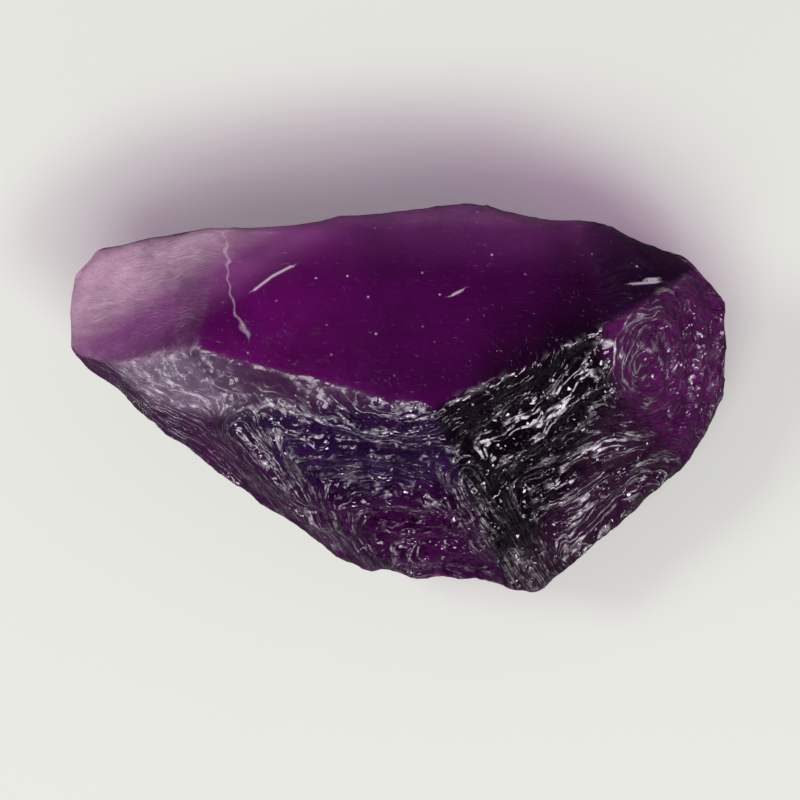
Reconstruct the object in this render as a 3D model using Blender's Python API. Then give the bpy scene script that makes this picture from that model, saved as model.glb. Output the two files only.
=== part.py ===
"""A rough piece of purple fluorite, broken along octahedral cleavage, lying on its flat base.

The stone is one solid. A block is cut by flat break faces, then the broken surface gets its
ledges, ribs, lumps and shell-shaped hollows. Sizes below are in millimetres. +X runs along the
stone to its blunt end, +Y towards its back and +Z up. The origin is in the middle of the
stone's box, on the surface that it rests on.
"""

import heapq
import itertools
import math
from typing import NamedTuple

import bmesh
import bpy
from mathutils import Vector, noise

MM = 0.001
NODE_NAME = "fluorite_octahedron"

# Driving dimensions of the whole stone
BLOCK_LENGTH = 60.0
BLOCK_DEPTH = 40.0
BLOCK_HEIGHT = 30.0
BLOCK_LIFT = 10.0
FACET_EDGE = 1.45
FLAT_ANGLE = 0.01

# The angle between a cleavage face that the stone rests on and the three that lean out over it
CLEAVAGE_SLOPE = 109.5
STEEP_SLOPE = 104.0
BASE_SLOPE = 180.0

# Corners where three or more break faces meet
PEAK = (2.7, -0.7, 22.5)
SHOULDER = (-15.2, 4.3, 19.9)
KNEE = (-11.9, -0.5, 18.7)
HIP = (-13.7, -1.75, 16.9)
CREST = (16.0, 5.2, 20.5)
CHEEK = (16.8, 0.5, 16.8)
GROUND = (0.0, 0.0, 0.0)

# How rough each kind of break is: height of its coarse lumps and of its fine grain
SMOOTH = (0.10, 0.03)
WAVY = (0.20, 0.08)
HACKLY = (0.30, 0.20)
ROUGH = (0.42, 0.16)
FLAT = (0.0, 0.0)
LUMP_SIZE = 6.5
GRAIN_SIZE = 2.1


class Face(NamedTuple):
    """A flat break: which way it faces seen from above, its tilt, a point on it and its roughness."""

    name: str
    azimuth: float
    slope: float
    through: tuple[float, float, float]
    roughness: tuple[float, float]


FACES = (
    # The breaks that look up
    Face("smooth_top", 95, 22, PEAK, SMOOTH),
    Face("left_top", 139, 39, SHOULDER, SMOOTH),
    Face("right_top", 47, 35, CREST, SMOOTH),
    Face("back_shoulder", 92, 44, (2.0, 13.3, 16.9), SMOOTH),
    Face("hazy_step", -117, 30.5, PEAK, WAVY),
    Face("silver_step", -123, 37, KNEE, HACKLY),
    Face("front", -105, 46, PEAK, ROUGH),
    Face("left_flank", -128.5, 62, (-15.2, -3.2, 15.9), WAVY),
    Face("low_flank", -114, 55.5, HIP, WAVY),
    Face("dark_front", -56, 40, PEAK, HACKLY),
    Face("pointed_front", -49, 48, CHEEK, HACKLY),
    Face("scooped_end", -24, 49.5, CHEEK, WAVY),
    # The breaks that lean out over the ground
    Face("back", 91, CLEAVAGE_SLOPE, (2.0, 15.4, 14.9), ROUGH),
    Face("back_left", 95, 98, (-18.0, 13.0, 13.7), WAVY),
    Face("back_right", 77.5, CLEAVAGE_SLOPE, (15.0, 13.5, 15.5), ROUGH),
    Face("right_corner", 55.5, STEEP_SLOPE, (23.6, 10.5, 14.4), WAVY),
    Face("right_end", 8, 102, (25.9, 4.0, 9.0), HACKLY),
    Face("right_chamfer", -30, STEEP_SLOPE, (24.6, -2.7, 7.5), WAVY),
    Face("front_right", -50, CLEAVAGE_SLOPE, (16.9, -10.2, 7.0), HACKLY),
    Face("front_under", -97.4, STEEP_SLOPE, (3.8, -14.4, 8.6), ROUGH),
    Face("left_front", -133, CLEAVAGE_SLOPE, (-18.6, -2.05, 12.4), WAVY),
    Face("left_low", -158, 120, (-25.1, 4.95, 12.0), WAVY),
    Face("left_end", 176, STEEP_SLOPE, (-25.9, 8.0, 11.6), WAVY),
    Face("left_back", 140, 112, (-24.4, 11.4, 10.8), WAVY),
    Face("left_under", -172, 147, (-24.5, 7.0, 8.0), ROUGH),
    Face("base", 0, BASE_SLOPE, GROUND, FLAT),
)


class Ledges(NamedTuple):
    """Straight steps: which way their treads rise, their spacing, height, start and riser's share."""

    climbs: float
    spacing: float
    height: float
    start: float = 0.0
    riser_share: float = 0.35


class Ribs(NamedTuple):
    """Curved ribs around the point where a shell-like break began: that point, spacing and height."""

    centre: tuple[float, float, float]
    spacing: float
    height: float


LEDGES = {
    "dark_front": Ledges(climbs=-58, spacing=4.8, height=0.95, start=5.7, riser_share=0.6),
    "pointed_front": Ledges(climbs=-48, spacing=2.5, height=0.40, riser_share=0.5),
    "low_flank": Ledges(climbs=-132, spacing=2.4, height=0.26),
    "left_flank": Ledges(climbs=-130, spacing=2.2, height=0.18),
    "back": Ledges(climbs=65, spacing=6.0, height=0.55),
    "back_right": Ledges(climbs=35, spacing=4.5, height=0.45),
    "front_right": Ledges(climbs=0, spacing=3.4, height=0.40),
    "left_under": Ledges(climbs=35, spacing=5.0, height=0.50),
}
RIBS = {
    "front": Ribs(centre=(-3.0, 1.0, 25.0), spacing=3.3, height=0.42),
    "scooped_end": Ribs(centre=(18.8, 1.6, 16.5), spacing=2.7, height=0.26),
    "front_under": Ribs(centre=(3.0, -14.0, 13.0), spacing=3.4, height=0.38),
    "left_front": Ribs(centre=(-6.0, -12.0, 10.0), spacing=4.2, height=0.16),
}
# Shell-shaped hollows pressed into the stone: middle, radius and depth
SCOOPS = (
    ((20.6, 2.2, 12.6), 6.2, 0.9),
    ((5.6, -14.4, 9.0), 4.6, 0.8),
    ((-9.6, 14.2, 14.0), 5.2, 0.6),
    ((12.0, 15.0, 10.5), 7.0, 0.9),
    ((-19.0, 3.5, 3.6), 7.0, 0.9),
)
WARP_SIZE = 8.0
WARP_REACH = 2.4
LEDGE_STRAY = 0.5
PATCH_STRENGTH = 0.85
PATCH_SIZE = 5.0
FAINTEST = 0.15
EDGE_CHIP_SIZE = 3.0
EDGE_CHIP_DEPTH = 1.1
LOWEST_SIDE_POINT = 0.36


def normal_of(face):
    """The direction that a break faces, as a unit vector."""
    azimuth = math.radians(face.azimuth)
    slope = math.radians(face.slope)
    level = math.sin(slope)
    return Vector((level * math.cos(azimuth), level * math.sin(azimuth), math.cos(slope)))


def cut_block():
    """Cuts a block by every break in turn. Returns the mesh and its layer of numbers in FACES."""
    mesh = bmesh.new()
    bmesh.ops.create_cube(mesh, size=1.0)
    bmesh.ops.scale(mesh, vec=(BLOCK_LENGTH, BLOCK_DEPTH, BLOCK_HEIGHT), verts=mesh.verts)
    bmesh.ops.translate(mesh, vec=(0.0, 0.0, BLOCK_LIFT), verts=mesh.verts)
    numbers = mesh.faces.layers.int.new("break_number")
    for number, face in enumerate(FACES):
        everything = mesh.verts[:] + mesh.edges[:] + mesh.faces[:]
        cut = bmesh.ops.bisect_plane(
            mesh, geom=everything, plane_co=face.through, plane_no=normal_of(face), clear_outer=True
        )
        rim = [item for item in cut["geom_cut"] if isinstance(item, bmesh.types.BMEdge)]
        lid = bmesh.ops.contextual_create(mesh, geom=rim)["faces"]
        for new_face in lid:
            new_face[numbers] = number
    bmesh.ops.recalc_face_normals(mesh, faces=mesh.faces)
    return mesh, numbers


def refine(mesh):
    """Splits the longest edge first, again and again, until none is longer than FACET_EDGE."""
    bmesh.ops.triangulate(mesh, faces=mesh.faces)
    order = itertools.count()
    waiting = [(-edge.calc_length(), next(order), edge) for edge in mesh.edges]
    heapq.heapify(waiting)
    while -waiting[0][0] > FACET_EDGE:
        edge = heapq.heappop(waiting)[2]
        corners = [corner for face in edge.link_faces for corner in face.verts if corner not in edge.verts]
        half, middle = bmesh.utils.edge_split(edge, edge.verts[0], 0.5)
        shorter = [edge, half]
        for corner in corners:
            shared = next(face for face in middle.link_faces if corner in face.verts)
            bmesh.utils.face_split(shared, middle, corner)
            shorter.append(next(link for link in middle.link_edges if corner in link.verts))
        for link in shorter:
            heapq.heappush(waiting, (-link.calc_length(), next(order), link))
    flat = [edge for edge in mesh.edges if edge.calc_face_angle() < FLAT_ANGLE]
    bmesh.ops.beautify_fill(mesh, faces=mesh.faces[:], edges=flat)


def warp(place):
    """A slow wander that keeps ledges and ribs from running dead straight."""
    return WARP_REACH * noise.noise(place / WARP_SIZE)


def strength(place):
    """How strong ledges and ribs are there: they fade out in some stretches."""
    return max(FAINTEST, PATCH_STRENGTH + noise.noise(place / PATCH_SIZE))


def ledge_height(ledges, place):
    """Steps whose treads lean back and whose risers drop away."""
    climbs = math.radians(ledges.climbs)
    along = place.x * math.cos(climbs) + place.y * math.sin(climbs) + LEDGE_STRAY * warp(place)
    step = ((along - ledges.start) / ledges.spacing) % 1.0
    tread = step / (1.0 - ledges.riser_share)
    riser = (1.0 - step) / ledges.riser_share
    return ledges.height * strength(place) * (min(tread, riser) - 0.5)


def rib_height(ribs, place):
    """Rings around the start of a shell-like break."""
    radius = (place - Vector(ribs.centre)).length + warp(place)
    return ribs.height * strength(place) * math.sin(2.0 * math.pi * radius / ribs.spacing)


def break_height(face, place):
    """How far the surface of a break stands out of its flat plane at a place."""
    lump, grain = face.roughness
    height = lump * noise.noise(place / LUMP_SIZE) + grain * noise.noise(place / GRAIN_SIZE)
    if face.name in LEDGES:
        height += ledge_height(LEDGES[face.name], place)
    if face.name in RIBS:
        height += rib_height(RIBS[face.name], place)
    return height


def scoop_depth(place):
    """How deep the shell-shaped hollows go at a place."""
    depth = 0.0
    for middle, radius, deepest in SCOOPS:
        share = (place - Vector(middle)).length / radius
        if share < 1.0:
            depth += deepest * (1.0 - share * share)
    return depth


def roughen(mesh, numbers):
    """Moves points off their flat breaks by the height there and chips the ridges. The base stays."""
    moved = {}
    for point in mesh.verts:
        breaks = sorted({face[numbers] for face in point.link_faces})
        if any(FACES[number].name == "base" for number in breaks):
            continue
        place = point.co.copy()
        between = sum((normal_of(FACES[number]) for number in breaks), Vector()) / len(breaks)
        height = sum(break_height(FACES[number], place) for number in breaks) / len(breaks)
        sharpness = 1.0 - between.length
        height -= EDGE_CHIP_DEPTH * sharpness * (1.0 + noise.noise(place / EDGE_CHIP_SIZE))
        moved[point] = place + between.normalized() * (height - scoop_depth(place))
    for point, place in moved.items():
        point.co = place
        point.co.z = max(place.z, LOWEST_SIDE_POINT)


def settle(mesh):
    """Puts the middle of the stone's box over the origin, with its base at the origin's height."""
    low = Vector(min(point.co[axis] for point in mesh.verts) for axis in range(3))
    high = Vector(max(point.co[axis] for point in mesh.verts) for axis in range(3))
    middle = (low + high) / 2.0
    bmesh.ops.translate(mesh, vec=(-middle.x, -middle.y, -low.z), verts=mesh.verts)
    bmesh.ops.scale(mesh, vec=(MM, MM, MM), verts=mesh.verts)


def fluorite_material():
    """Deep violet, clear and glossy, as the photographed stone is."""
    material = bpy.data.materials.new("fluorite")
    material.use_nodes = True
    shader = material.node_tree.nodes["Principled BSDF"]
    shader.inputs["Base Color"].default_value = (0.16, 0.03, 0.20, 1.0)
    shader.inputs["Roughness"].default_value = 0.22
    shader.inputs["Metallic"].default_value = 0.0
    shader.inputs["IOR"].default_value = 1.434
    return material


def main():
    """Clears the scene and builds the stone."""
    for old in list(bpy.data.objects):
        bpy.data.objects.remove(old)
    mesh, numbers = cut_block()
    refine(mesh)
    roughen(mesh, numbers)
    settle(mesh)
    bmesh.ops.recalc_face_normals(mesh, faces=mesh.faces)
    data = bpy.data.meshes.new(NODE_NAME)
    mesh.to_mesh(data)
    mesh.free()
    data.materials.append(fluorite_material())
    stone = bpy.data.objects.new(NODE_NAME, data)
    bpy.context.scene.collection.objects.link(stone)


main()
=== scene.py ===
"""Dresses a rough piece of purple fluorite, broken along octahedral cleavage, and lights it on a pale floor.

The stone is cut and broken again here at a finer scale than its solid, from the same named break
faces. It is modelled in millimetres and brought to metres at the end.
"""

import logging
import math
from collections.abc import Iterable
from dataclasses import dataclass
from enum import Enum

import bpy
import numpy as np
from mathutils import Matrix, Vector, noise


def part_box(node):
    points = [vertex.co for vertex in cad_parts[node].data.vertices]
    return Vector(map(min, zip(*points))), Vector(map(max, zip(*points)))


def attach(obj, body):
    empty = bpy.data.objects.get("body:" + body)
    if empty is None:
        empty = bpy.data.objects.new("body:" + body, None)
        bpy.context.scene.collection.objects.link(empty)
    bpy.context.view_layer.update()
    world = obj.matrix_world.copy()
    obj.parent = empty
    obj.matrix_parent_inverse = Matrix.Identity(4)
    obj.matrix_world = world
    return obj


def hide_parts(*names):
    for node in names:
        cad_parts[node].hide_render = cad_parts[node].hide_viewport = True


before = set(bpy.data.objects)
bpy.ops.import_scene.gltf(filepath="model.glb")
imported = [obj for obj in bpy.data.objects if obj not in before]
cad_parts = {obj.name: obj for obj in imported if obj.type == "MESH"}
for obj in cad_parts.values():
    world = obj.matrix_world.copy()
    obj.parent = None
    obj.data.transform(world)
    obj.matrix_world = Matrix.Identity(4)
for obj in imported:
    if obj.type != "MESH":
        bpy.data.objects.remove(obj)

LOG = logging.getLogger("fluorite")
NODE = "fluorite_octahedron"
BODY = "root"
MM = 0.001

HALF = (0.5, 0.5, 0.5)
MOSTLY = 0.5
NOISE_MIDDLE = 0.5
SOFT_DETAIL = 4.0
VEIL_DETAIL = 5.0
GRAIN_DETAIL = 2.0
DRAWN_OUT_DETAIL = 2.0

Point = tuple[float, float, float]
Colour = tuple[float, float, float]
Span = tuple[float, float]
Line = tuple[tuple[float, float], ...]
Socket = bpy.types.NodeSocket
Feed = Socket | float | tuple[float, ...]


class Roughness(Enum):
    """How rough a break is: the height in millimetres of its coarse lumps and of its fine grain."""

    SMOOTH = (0.10, 0.03)
    WAVY = (0.20, 0.08)
    HACKLY = (0.30, 0.20)
    ROUGH = (0.42, 0.16)
    FLAT = (0.0, 0.0)


class Tint(Enum):
    """The colours that the fluorite takes in its zones, as linear red, green and blue."""

    LILAC = (0.54, 0.31, 0.45)
    ORCHID = (0.19, 0.042, 0.175)
    VIOLET = (0.092, 0.0014, 0.086)
    PLUM = (0.056, 0.0010, 0.057)
    DUSK = (0.028, 0.002, 0.036)
    WINE = (0.085, 0.006, 0.080)
    ASH = (0.034, 0.006, 0.031)
    DEEP = (0.052, 0.003, 0.054)
    INDIGO = (0.024, 0.004, 0.046)
    NIGHT = (0.005, 0.0006, 0.006)
    HAZE = (0.045, 0.009, 0.046)
    MIST = (0.25, 0.058, 0.235)
    # Painted sheen: a light greyish purple that stands in for the silver step's bluish-silver sheen.
    SILVER = (0.19, 0.12, 0.20)
    # Painted glint: the near-white that the thin lines along the ledges and ribs are painted with.
    FROST = (0.96, 0.86, 0.96)
    MAGENTA = (0.17, 0.012, 0.14)
    PALE = (0.75, 0.60, 0.71)


@dataclass(frozen=True)
class BreakFace:
    """A flat break: the way it faces seen from above, its tilt from level, a point on it and how it looks.

    Attributes:
        name: What the break is called.
        azimuth: The way it faces seen from above, in degrees from +X.
        slope: Its tilt in degrees, where 0 faces up and 180 faces down.
        through: A point on it, in millimetres.
        roughness: How lumpy and grainy it is.
        tint: Its colour zone.
        gloss: Its shader roughness, where 0 is a mirror.
        hackle: The height of its small splintered facets, where 1 is the strongest.
        striation: The height of its fine lines, where 1 is the strongest.
        painted_glints: How many painted glint lines, near-white in the colour, the treads of its ledges and
            ribs have, where 1 is the most.
        between: The share of that which it has between the treads.
    """

    name: str
    azimuth: float
    slope: float
    through: Point
    roughness: Roughness
    tint: Tint
    gloss: float
    hackle: float
    striation: float
    painted_glints: float = 0.0
    between: float = 0.35

    def normal(self) -> Vector:
        """Works out the way that the break faces.

        Returns:
            The direction, one unit long.
        """
        azimuth = math.radians(self.azimuth)
        slope = math.radians(self.slope)
        across = math.sin(slope)
        return Vector((across * math.cos(azimuth), across * math.sin(azimuth), math.cos(slope)))


PATCH_STRENGTH = 0.85
PATCH_SIZE = 5.0
FAINTEST = 0.15
LEDGE_STRAY = 0.5
LEVEL_TREAD = 0.5
TREAD_FLATNESS = 3


def strength(place: Vector) -> float:
    """Returns how strong ledges and ribs are at a place: they fade out in some stretches."""
    return max(FAINTEST, PATCH_STRENGTH + noise.noise(place / PATCH_SIZE))


@dataclass(frozen=True)
class Ledges:
    """Straight steps across a break.

    Attributes:
        climbs: The way the treads rise off the flat break seen from above, in degrees from +X.
        spacing: From one step to the next, in millimetres.
        height: Of one step, in millimetres.
        start: Where one of the treads starts, in millimetres across the steps.
        riser_share: The share of a step that its riser takes.
    """

    climbs: float
    spacing: float
    height: float
    start: float = 0.0
    riser_share: float = 0.35

    def run(self, place: Vector, wander: float) -> float:
        """Returns how far up the flight of steps a place is, where the steps stray by wander."""
        climbs = math.radians(self.climbs)
        return place.x * math.cos(climbs) + place.y * math.sin(climbs) + LEDGE_STRAY * wander

    def step(self, place: Vector, wander: float) -> float:
        """Returns how far through its step a place is, from 0 at the start of its tread."""
        return ((self.run(place, wander) - self.start) / self.spacing) % 1.0

    def height_at(self, place: Vector, wander: float) -> float:
        """The height of the steps at a place. The treads lean back and the risers drop away.

        Args:
            place: A point on the break, in millimetres.
            wander: How far the steps stray there.

        Returns:
            The height off the flat break, in millimetres.
        """
        step = self.step(place, wander)
        tread = step / (1.0 - self.riser_share)
        riser = (1.0 - step) / self.riser_share
        return self.height * strength(place) * (min(tread, riser) - 0.5)

    def tread_at(self, place: Vector, wander: float) -> float:
        """Returns how much a place belongs to a tread: 1 in the middle of it and 0 on a riser."""
        share = self.step(place, wander) / (1.0 - self.riser_share)
        return min(1.0, strength(place)) * max(0.0, 1.0 - abs(2.0 * share - 1.0) ** TREAD_FLATNESS)


@dataclass(frozen=True)
class Ribs:
    """Curved ribs around the point where a shell-like break began.

    Attributes:
        centre: That point, in millimetres.
        spacing: From one rib to the next, in millimetres.
        height: Of the strongest rib, in millimetres.
    """

    centre: Point
    spacing: float
    height: float

    def run(self, place: Vector, wander: float) -> float:
        """Returns how far from the start of the break a place is, where the ribs stray by wander."""
        return (place - Vector(self.centre)).length + wander

    def turn(self, place: Vector, wander: float) -> float:
        """Returns how many ribs away from the start a place is, as a turn in radians."""
        return 2.0 * math.pi * self.run(place, wander) / self.spacing

    def height_at(self, place: Vector, wander: float) -> float:
        """Returns the height of the ribs off the flat break at a place, in millimetres."""
        return self.height * strength(place) * math.sin(self.turn(place, wander))

    def tread_at(self, place: Vector, wander: float) -> float:
        """Returns how much a place belongs to the flank of a rib that leans back, from 0 to 1."""
        return min(1.0, strength(place)) * max(0.0, math.cos(self.turn(place, wander)))


PEAK: Point = (2.7, -0.7, 22.5)
SHOULDER: Point = (-15.2, 4.3, 19.9)
KNEE: Point = (-11.9, -0.5, 18.7)
HIP: Point = (-13.7, -1.75, 16.9)
CREST: Point = (16.0, 5.2, 20.5)
CHEEK: Point = (16.8, 0.5, 16.8)
GROUND: Point = (0.0, 0.0, 0.0)
CLEAVAGE = 109.5
STEEP = 104.0
BASE_SLOPE = 180.0

SMOOTH, WAVY, HACKLY, ROUGH, FLAT = Roughness
BREAKS: tuple[BreakFace, ...] = (
    BreakFace("smooth_top", 95, 22, PEAK, SMOOTH, Tint.VIOLET, 0.14, 0.02, 0.03),
    BreakFace("left_top", 139, 39, SHOULDER, SMOOTH, Tint.LILAC, 0.45, 0.06, 0.10),
    BreakFace("right_top", 47, 35, CREST, SMOOTH, Tint.DUSK, 0.22, 0.06, 0.03, 0.015),
    BreakFace("back_shoulder", 92, 44, (2.0, 13.3, 16.9), SMOOTH, Tint.MIST, 0.42, 0.05, 0.05),
    BreakFace("hazy_step", -117, 30.5, PEAK, WAVY, Tint.HAZE, 0.20, 0.05, 0.03, 0.015, 0.5),
    # The silver step's tint is a painted sheen, lighter than the purple body.
    BreakFace("silver_step", -123, 37, KNEE, HACKLY, Tint.SILVER, 0.36, 0.40, 0.60, 0.65, 0.9),
    BreakFace("front", -105, 46, PEAK, ROUGH, Tint.INDIGO, 0.12, 1.20, 1.10, 1.4, 0.40),
    BreakFace("left_flank", -128.5, 62, (-15.2, -3.2, 15.9), WAVY, Tint.DEEP, 0.18, 0.30, 1.00, 0.40, 0.4),
    BreakFace("low_flank", -114, 55.5, HIP, WAVY, Tint.DEEP, 0.18, 0.40, 1.00, 0.40, 0.4),
    BreakFace("dark_front", -56, 40, PEAK, HACKLY, Tint.NIGHT, 0.09, 1.20, 1.00, 3.1, 0.02),
    BreakFace("pointed_front", -49, 48, CHEEK, HACKLY, Tint.ASH, 0.13, 0.60, 1.00, 1.15, 0.5),
    BreakFace("scooped_end", -24, 49.5, CHEEK, WAVY, Tint.WINE, 0.20, 0.45, 1.00, 0.75, 0.6),
    BreakFace("back", 91, CLEAVAGE, (2.0, 15.4, 14.9), ROUGH, Tint.DEEP, 0.20, 0.70, 0.50, 0.35),
    BreakFace("back_left", 95, 98, (-18.0, 13.0, 13.7), WAVY, Tint.ORCHID, 0.30, 0.35, 0.30),
    BreakFace("back_right", 77.5, CLEAVAGE, (15.0, 13.5, 15.5), ROUGH, Tint.DEEP, 0.18, 0.70, 0.60, 0.35),
    BreakFace("right_corner", 55.5, STEEP, (23.6, 10.5, 14.4), WAVY, Tint.MAGENTA, 0.24, 0.50, 0.40, 0.2),
    BreakFace("right_end", 8, 102, (25.9, 4.0, 9.0), HACKLY, Tint.MAGENTA, 0.22, 0.60, 0.40, 0.3),
    BreakFace("right_chamfer", -30, STEEP, (24.6, -2.7, 7.5), WAVY, Tint.MAGENTA, 0.24, 0.45, 0.50, 0.2),
    BreakFace("front_right", -50, CLEAVAGE, (16.9, -10.2, 7.0), HACKLY, Tint.DEEP, 0.18, 0.70, 0.80, 0.4),
    BreakFace("front_under", -97.4, STEEP, (3.8, -14.4, 8.6), ROUGH, Tint.MAGENTA, 0.22, 0.60, 0.50, 0.3),
    BreakFace("left_front", -133, CLEAVAGE, (-18.6, -2.05, 12.4), WAVY, Tint.DEEP, 0.22, 0.30, 0.80, 0.3),
    BreakFace("left_low", -158, 120, (-25.1, 4.95, 12.0), WAVY, Tint.LILAC, 0.40, 0.30, 0.30),
    BreakFace("left_end", 176, STEEP, (-25.9, 8.0, 11.6), WAVY, Tint.LILAC, 0.42, 0.25, 0.25),
    BreakFace("left_back", 140, 112, (-24.4, 11.4, 10.8), WAVY, Tint.LILAC, 0.40, 0.25, 0.25),
    BreakFace("left_under", -172, 147, (-24.5, 7.0, 8.0), ROUGH, Tint.LILAC, 0.40, 0.40, 0.40),
    BreakFace("base", 0, BASE_SLOPE, GROUND, FLAT, Tint.DEEP, 0.22, 0.10, 0.15),
)
RELIEF: dict[str, Ledges | Ribs] = {
    "dark_front": Ledges(climbs=-58, spacing=4.8, height=0.95, start=5.7, riser_share=0.6),
    "pointed_front": Ledges(climbs=-48, spacing=2.5, height=0.40, riser_share=0.5),
    "low_flank": Ledges(climbs=-132, spacing=2.4, height=0.26),
    "left_flank": Ledges(climbs=-130, spacing=2.2, height=0.18),
    "back": Ledges(climbs=65, spacing=6.0, height=0.55),
    "back_right": Ledges(climbs=35, spacing=4.5, height=0.45),
    "front_right": Ledges(climbs=0, spacing=3.4, height=0.40),
    "left_under": Ledges(climbs=35, spacing=5.0, height=0.50),
    "front": Ribs(centre=(-3.0, 1.0, 25.0), spacing=3.3, height=0.42),
    "scooped_end": Ribs(centre=(18.8, 1.6, 16.5), spacing=2.7, height=0.26),
    "front_under": Ribs(centre=(3.0, -14.0, 13.0), spacing=3.4, height=0.38),
    "left_front": Ribs(centre=(-6.0, -12.0, 10.0), spacing=4.2, height=0.16),
}


@dataclass(frozen=True)
class Scoop:
    """A shell-shaped hollow in the stone, in millimetres.

    Attributes:
        middle: The middle of the ball that hollows it out.
        radius: The ball's radius.
        depth: How deep the hollow is in the middle.
    """

    middle: Point
    radius: float
    depth: float

    def depth_at(self, place: Vector) -> float:
        """Returns how deep the hollow goes at a place."""
        share = (place - Vector(self.middle)).length / self.radius
        return self.depth * max(0.0, 1.0 - share * share)


SCOOPS: tuple[Scoop, ...] = (
    Scoop((20.6, 2.2, 12.6), 6.2, 0.9),
    Scoop((5.6, -14.4, 9.0), 4.6, 0.8),
    Scoop((-9.6, 14.2, 14.0), 5.2, 0.6),
    Scoop((12.0, 15.0, 10.5), 7.0, 0.9),
    Scoop((-19.0, 3.5, 3.6), 7.0, 0.9),
)


def deselect_all() -> None:
    """Leaves nothing selected, so that an operator acts on the new piece alone."""
    bpy.ops.object.select_all(action="DESELECT")


def smoothstep(span: Span, value: np.ndarray) -> np.ndarray:
    """Returns a soft ramp, from 0 where the value is at the start of the span to 1 at its end."""
    share = np.clip((value - span[0]) / (span[1] - span[0]), 0.0, 1.0)
    return share * share * (3.0 - 2.0 * share)


def fade(away: np.ndarray, width: float) -> np.ndarray:
    """Returns what falls softly from 1 to 0 with distance, with about a third left at the width."""
    return np.exp(-((away / width) ** 2))


def blend(colour: np.ndarray | Colour, towards: Tint, share: np.ndarray) -> np.ndarray:
    """Returns one colour for each point: the first one, mixed with a share of a tint."""
    return colour + np.subtract(towards.value, colour) * share[:, None]


def aside_of(line: Line, places: np.ndarray) -> np.ndarray:
    """How far points are, seen from above, to the side of a line of straight stretches.

    Args:
        line: The line's corners.
        places: Points on the stone.

    Returns:
        One distance for each point, below 0 on the line's right.
    """
    nearest = np.full(len(places), np.inf)
    for start, end in zip(line, line[1:]):
        stretch = np.subtract(end, start)
        share = np.clip((places[:, :2] - start) @ stretch / (stretch @ stretch), 0.0, 1.0)
        away = places[:, :2] - start - share[:, None] * stretch
        distance = np.hypot(away[:, 0], away[:, 1])
        side = np.where(stretch[0] * away[:, 1] < stretch[1] * away[:, 0], -1.0, 1.0)
        nearest = np.where(distance < np.abs(nearest), side * distance, nearest)
    return nearest


def away_from(lines: tuple[Line, ...], places: np.ndarray) -> np.ndarray:
    """Returns how far points are, seen from above, from the nearest of some lines."""
    return np.min([np.abs(aside_of(line, places)) for line in lines], axis=0)


def face_shares(places: np.ndarray, seam: float) -> np.ndarray:
    """How much each break counts at each point. Only near a ridge does more than one count.

    Args:
        places: The stone's points.
        seam: How far two breaks mix beside their ridge, in millimetres.

    Returns:
        One row for each point, and in it one share for each break.
    """
    normals = np.array([face.normal() for face in BREAKS])
    through = np.array([face.through for face in BREAKS])
    outside = places @ normals.T - np.sum(normals * through, axis=1)
    nearness = np.exp((outside - outside.max(axis=1, keepdims=True)) / seam)
    return nearness / nearness.sum(axis=1, keepdims=True)


def by_name(shares: np.ndarray) -> dict[str, np.ndarray]:
    """Returns how much each break counts at each point, by the break's name."""
    return {face.name: shares[:, number] for number, face in enumerate(BREAKS)}


def spread(shares: np.ndarray, setting: str) -> np.ndarray:
    """Returns one setting of the breaks at each point, mixed by how much each break counts there."""
    return shares @ np.array([getattr(face, setting) for face in BREAKS])


@dataclass(frozen=True)
class Hairlines:
    """The crack across the thin end and the scratches on the top, seen from above, in millimetres.

    Attributes:
        crack: The crack's corners.
        crack_width: How wide it gapes.
        crack_depth: How deep it is.
        crack_paleness: How pale it shows, where 1 is the palest.
        jag_size: The length of its jags.
        jag_reach: How far they stray to the side.
        scratches: Each scratch's corners.
        scratch_paleness: How pale they show.
        end_fade: How far past its end a line still shows.
    """

    crack: Line = ((-13.5, 13.9), (-13.1, 10.1), (-12.7, 7.0), (-11.4, 4.9))
    crack_width: float = 0.12
    crack_depth: float = 0.16
    crack_paleness: float = 0.45
    jag_size: float = 0.8
    jag_reach: float = 0.5
    scratches: tuple[Line, ...] = (
        ((-11.0, 8.4), (-9.6, 9.5), (-8.1, 10.3)),
        ((17.9, 8.9), (20.0, 9.1)),
        ((19.1, 9.3), (19.9, 9.35)),
        ((4.1, 8.0), (4.9, 8.4)),
    )
    scratch_paleness: float = 0.9
    end_fade: float = 0.35

    def aside_of_crack(self, places: np.ndarray) -> np.ndarray:
        """Returns how far points are to the side of the jagged crack, below 0 on one side of it."""
        jags = np.array([noise.noise(Vector(place) / self.jag_size) for place in places])
        return aside_of(self.crack, places + np.outer(self.jag_reach * jags, (1.0, 0.0, 0.0)))

    def depth_at(self, places: np.ndarray) -> np.ndarray:
        """Returns how deep the crack is at each point."""
        return self.crack_depth * fade(self.aside_of_crack(places), self.crack_width)

    def drawn(self, places: np.ndarray) -> tuple[np.ndarray, np.ndarray]:
        """The crack and the scratches, for the material to draw finer than the stone's small faces.

        Args:
            places: Points on the stone.

        Returns:
            How far aside the nearest of them is, below 0 on one side of it, and how pale it is there.
        """
        aside = self.aside_of_crack(places)
        paleness = self.crack_paleness * fade(aside, self.end_fade)
        for scratch in self.scratches:
            other = aside_of(scratch, places)
            closer = np.abs(other) < np.abs(aside)
            aside = np.where(closer, other, aside)
            paleness = np.where(closer, self.scratch_paleness * fade(other, self.end_fade), paleness)
        return aside, paleness


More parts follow.
